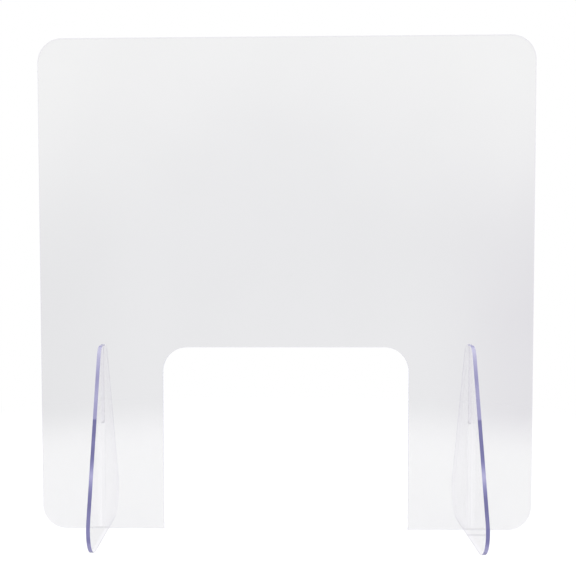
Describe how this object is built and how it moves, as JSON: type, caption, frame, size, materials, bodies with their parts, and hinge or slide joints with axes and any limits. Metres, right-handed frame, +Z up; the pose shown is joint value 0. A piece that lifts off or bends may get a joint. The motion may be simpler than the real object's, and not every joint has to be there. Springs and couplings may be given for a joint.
{
  "type": "desk privacy panel",
  "caption": "Free-standing clear desk panel, square with rounded corners and a pass-through cut-out at the bottom, held upright by slotted clear feet that stand across it.",
  "frame": {"origin": "on the desk, at the middle of the panel's width and of its thickness", "axes": "+Z up, +X to the right along the panel, +Y away from the person the panel is turned to"},
  "size_m": [0.6096, 0.2036, 0.6166],
  "materials": {
    "panel_sheet": "polished",
    "foot_sheet": "polished"
  },
  "bodies": {
    "left_foot": {"left_foot": "foot_sheet"},
    "panel": {"panel": "panel_sheet"},
    "right_foot": {"right_foot": "foot_sheet"}
  },
  "joints": [
    {"name": "panel_lift", "type": "slide", "parent": "left_foot", "child": "panel", "axis": [0, 0, 1], "range_m": [0, 0.235]},
    {"name": "right_foot_release", "type": "slide", "parent": "panel", "child": "right_foot", "axis": [0, 0, -1], "range_m": [0, 0.235]}
  ],
  "couplings": [
    {"joint": "right_foot_release", "follows": "panel_lift", "ratio": 1}
  ]
}
